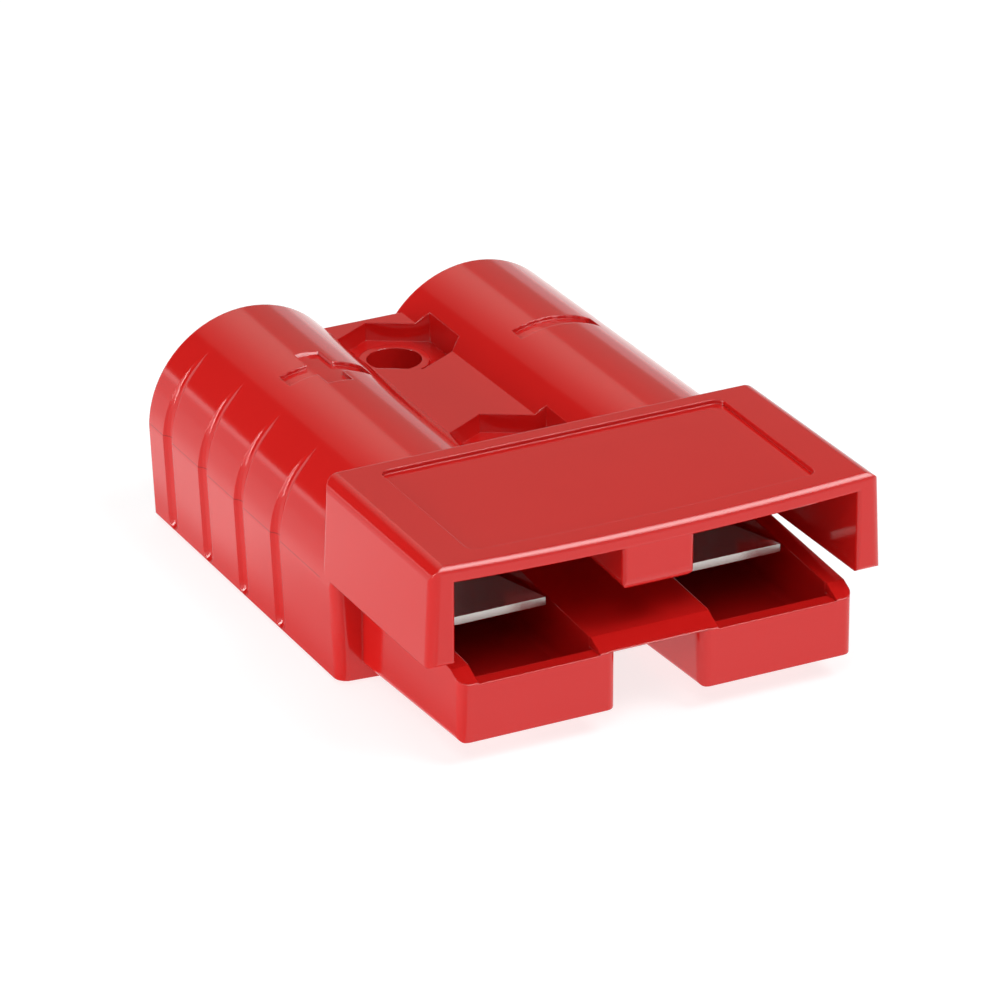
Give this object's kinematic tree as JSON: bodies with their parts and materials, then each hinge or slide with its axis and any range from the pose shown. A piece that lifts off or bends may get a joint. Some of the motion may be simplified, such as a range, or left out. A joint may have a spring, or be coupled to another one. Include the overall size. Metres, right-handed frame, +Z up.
{
  "type": "genderless power connector",
  "caption": "Genderless power connector housing in red plastic: twin round contact barrels behind a flat hood that mates with a turned-over twin.",
  "frame": {"origin": "centre of the footprint at the level of the flat underside", "axes": "+X across, towards the pole marked minus; +Y towards the cable end; +Z up, from the flat underside to the hood's roof"},
  "size_m": [0.0364, 0.048, 0.0158],
  "materials": {
    "red_moulding": "moulded gloss",
    "spring_steel": "bright rolled strip"
  },
  "bodies": {
    "root": {"housing": "red_moulding", "left_contact_spring": "spring_steel", "right_contact_spring": "spring_steel"}
  },
  "joints": []
}
